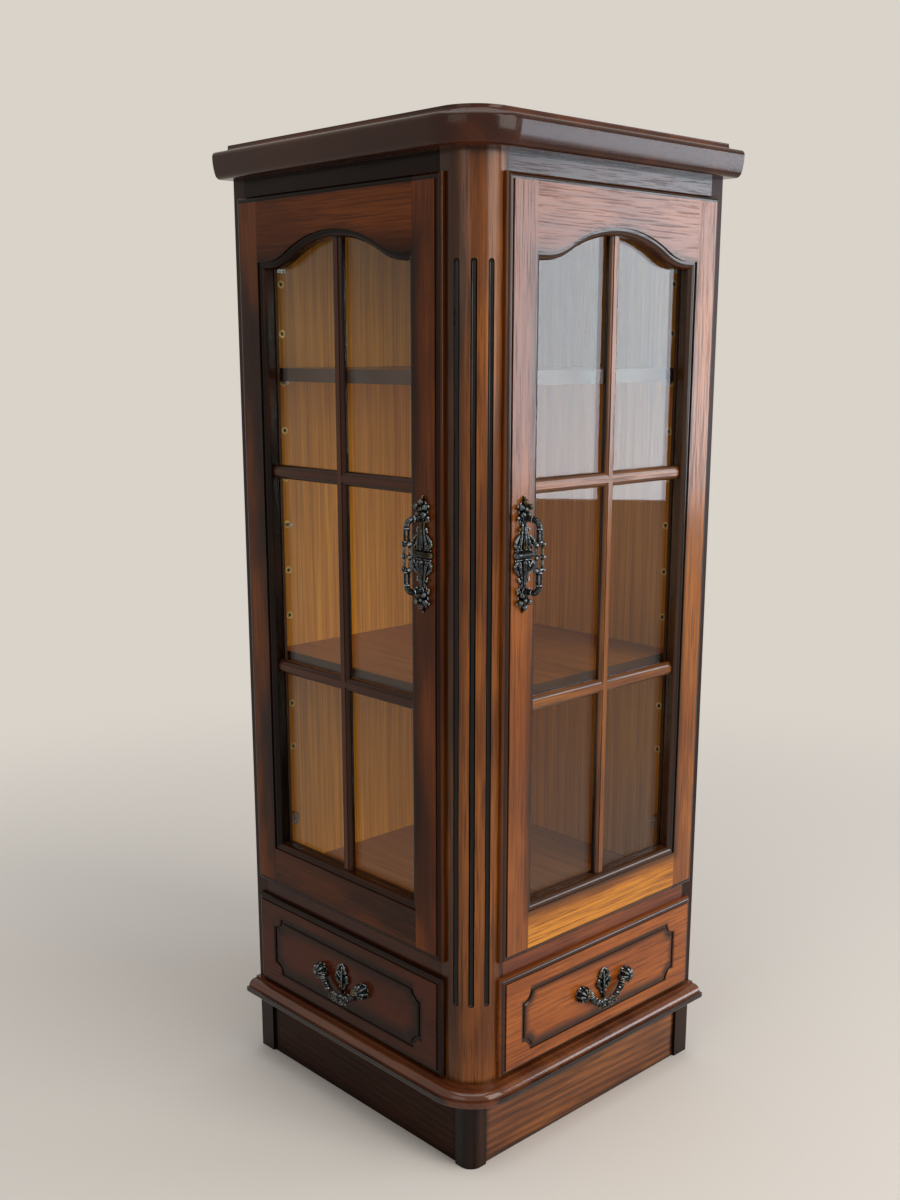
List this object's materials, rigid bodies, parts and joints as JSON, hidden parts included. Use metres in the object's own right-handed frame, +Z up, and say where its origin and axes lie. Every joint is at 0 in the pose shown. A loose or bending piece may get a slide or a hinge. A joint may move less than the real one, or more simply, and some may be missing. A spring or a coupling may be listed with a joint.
{
  "type": "corner display cabinet",
  "caption": "Square corner display cabinet with arched glazed doors over lipped drawers on both front sides of a rounded fluted post, under a moulded top.",
  "frame": {"origin": "middle of the whole outline in plan, on the floor", "axes": "+Z up; the rounded front corner points to +X and -Y; the right side faces +X and the left side faces -Y"},
  "size_m": [0.4578, 0.4578, 1.19],
  "materials": {
    "stained_wood": "glossy lacquer over shaded reddish-brown stain",
    "dark_stained_wood": "glossy lacquer over very dark brown stain",
    "oak_veneer": "satin golden-brown veneer with upright grain",
    "shelf_veneer": "satin brown veneer with a light front edge",
    "plain_softwood": "plain sealed wood",
    "clear_glass": "clear, flat and glossy",
    "antiqued_metal": "cast and blackened, rubbed bright on the high spots",
    "socket_brass": "satin brass",
    "plated_pegs": "nickel-plated steel",
    "plated_hinges": "nickel-plated steel"
  },
  "bodies": {
    "carcase": {"base_board": "dark_stained_wood", "bottom_board": "shelf_veneer", "drawer_partition": "plain_softwood", "front_post": "dark_stained_wood", "left_drawer_rail": "stained_wood", "left_drawer_runners": "plain_softwood", "left_frieze": "stained_wood", "left_hinge_arms": "plated_hinges", "left_plinth_board": "dark_stained_wood", "left_plinth_end_block": "dark_stained_wood", "left_plinth_rear_board": "dark_stained_wood", "left_wall": "oak_veneer", "lower_shelf": "shelf_veneer", "peg_sockets": "socket_brass", "plinth_front_post": "dark_stained_wood", "right_drawer_rail": "stained_wood", "right_drawer_runners": "plain_softwood", "right_frieze": "stained_wood", "right_hinge_arms": "plated_hinges", "right_plinth_board": "dark_stained_wood", "right_plinth_end_block": "dark_stained_wood", "right_plinth_rear_board": "dark_stained_wood", "right_wall": "oak_veneer", "shelf_pegs": "plated_pegs", "top_board": "dark_stained_wood", "upper_shelf": "shelf_veneer"},
    "left_door": {"left_door_hinge_stile": "stained_wood", "left_door_lock_stile": "stained_wood", "left_door_top_rail": "stained_wood", "left_door_bottom_rail": "stained_wood", "left_door_vertical_muntin": "stained_wood", "left_door_cross_muntins": "stained_wood", "left_door_glass": "clear_glass", "left_door_glass_beads": "stained_wood", "left_door_hinge_cups": "plated_hinges", "left_door_pull_plate": "antiqued_metal", "left_door_pull_grip": "antiqued_metal"},
    "left_drawer": {"left_drawer_front": "stained_wood", "left_drawer_sides": "plain_softwood", "left_drawer_back": "plain_softwood", "left_drawer_bottom": "plain_softwood", "left_drawer_pull_posts": "antiqued_metal"},
    "left_bail": {"left_drawer_pull_bail": "antiqued_metal"},
    "right_door": {"right_door_hinge_stile": "stained_wood", "right_door_lock_stile": "stained_wood", "right_door_top_rail": "stained_wood", "right_door_bottom_rail": "stained_wood", "right_door_vertical_muntin": "stained_wood", "right_door_cross_muntins": "stained_wood", "right_door_glass": "clear_glass", "right_door_glass_beads": "stained_wood", "right_door_hinge_cups": "plated_hinges", "right_door_pull_plate": "antiqued_metal", "right_door_pull_grip": "antiqued_metal"},
    "right_drawer": {"right_drawer_front": "stained_wood", "right_drawer_sides": "plain_softwood", "right_drawer_back": "plain_softwood", "right_drawer_bottom": "plain_softwood", "right_drawer_pull_posts": "antiqued_metal"},
    "right_bail": {"right_drawer_pull_bail": "antiqued_metal"}
  },
  "joints": [
    {"name": "right_door_swing", "type": "hinge", "parent": "carcase", "child": "right_door", "pos_m": [0.19845, 0.21395, 0.6925], "axis": [0, 0, 1], "range_deg": [0, 100]},
    {"name": "left_door_swing", "type": "hinge", "parent": "carcase", "child": "left_door", "pos_m": [-0.21395, -0.19845, 0.6925], "axis": [0, 0, -1], "range_deg": [0, 100]},
    {"name": "right_drawer_slide", "type": "slide", "parent": "carcase", "child": "right_drawer", "axis": [1, 0, 0], "range_m": [0, 0.26]},
    {"name": "left_drawer_slide", "type": "slide", "parent": "carcase", "child": "left_drawer", "axis": [0, -1, 0], "range_m": [0, 0.12]},
    {"name": "right_bail_swing", "type": "hinge", "parent": "right_drawer", "child": "right_bail", "pos_m": [0.20595, 0.03345, 0.171], "axis": [0, -1, 0], "range_deg": [0, 80]},
    {"name": "left_bail_swing", "type": "hinge", "parent": "left_drawer", "child": "left_bail", "pos_m": [-0.03345, -0.20595, 0.171], "axis": [-1, 0, 0], "range_deg": [0, 80]}
  ]
}
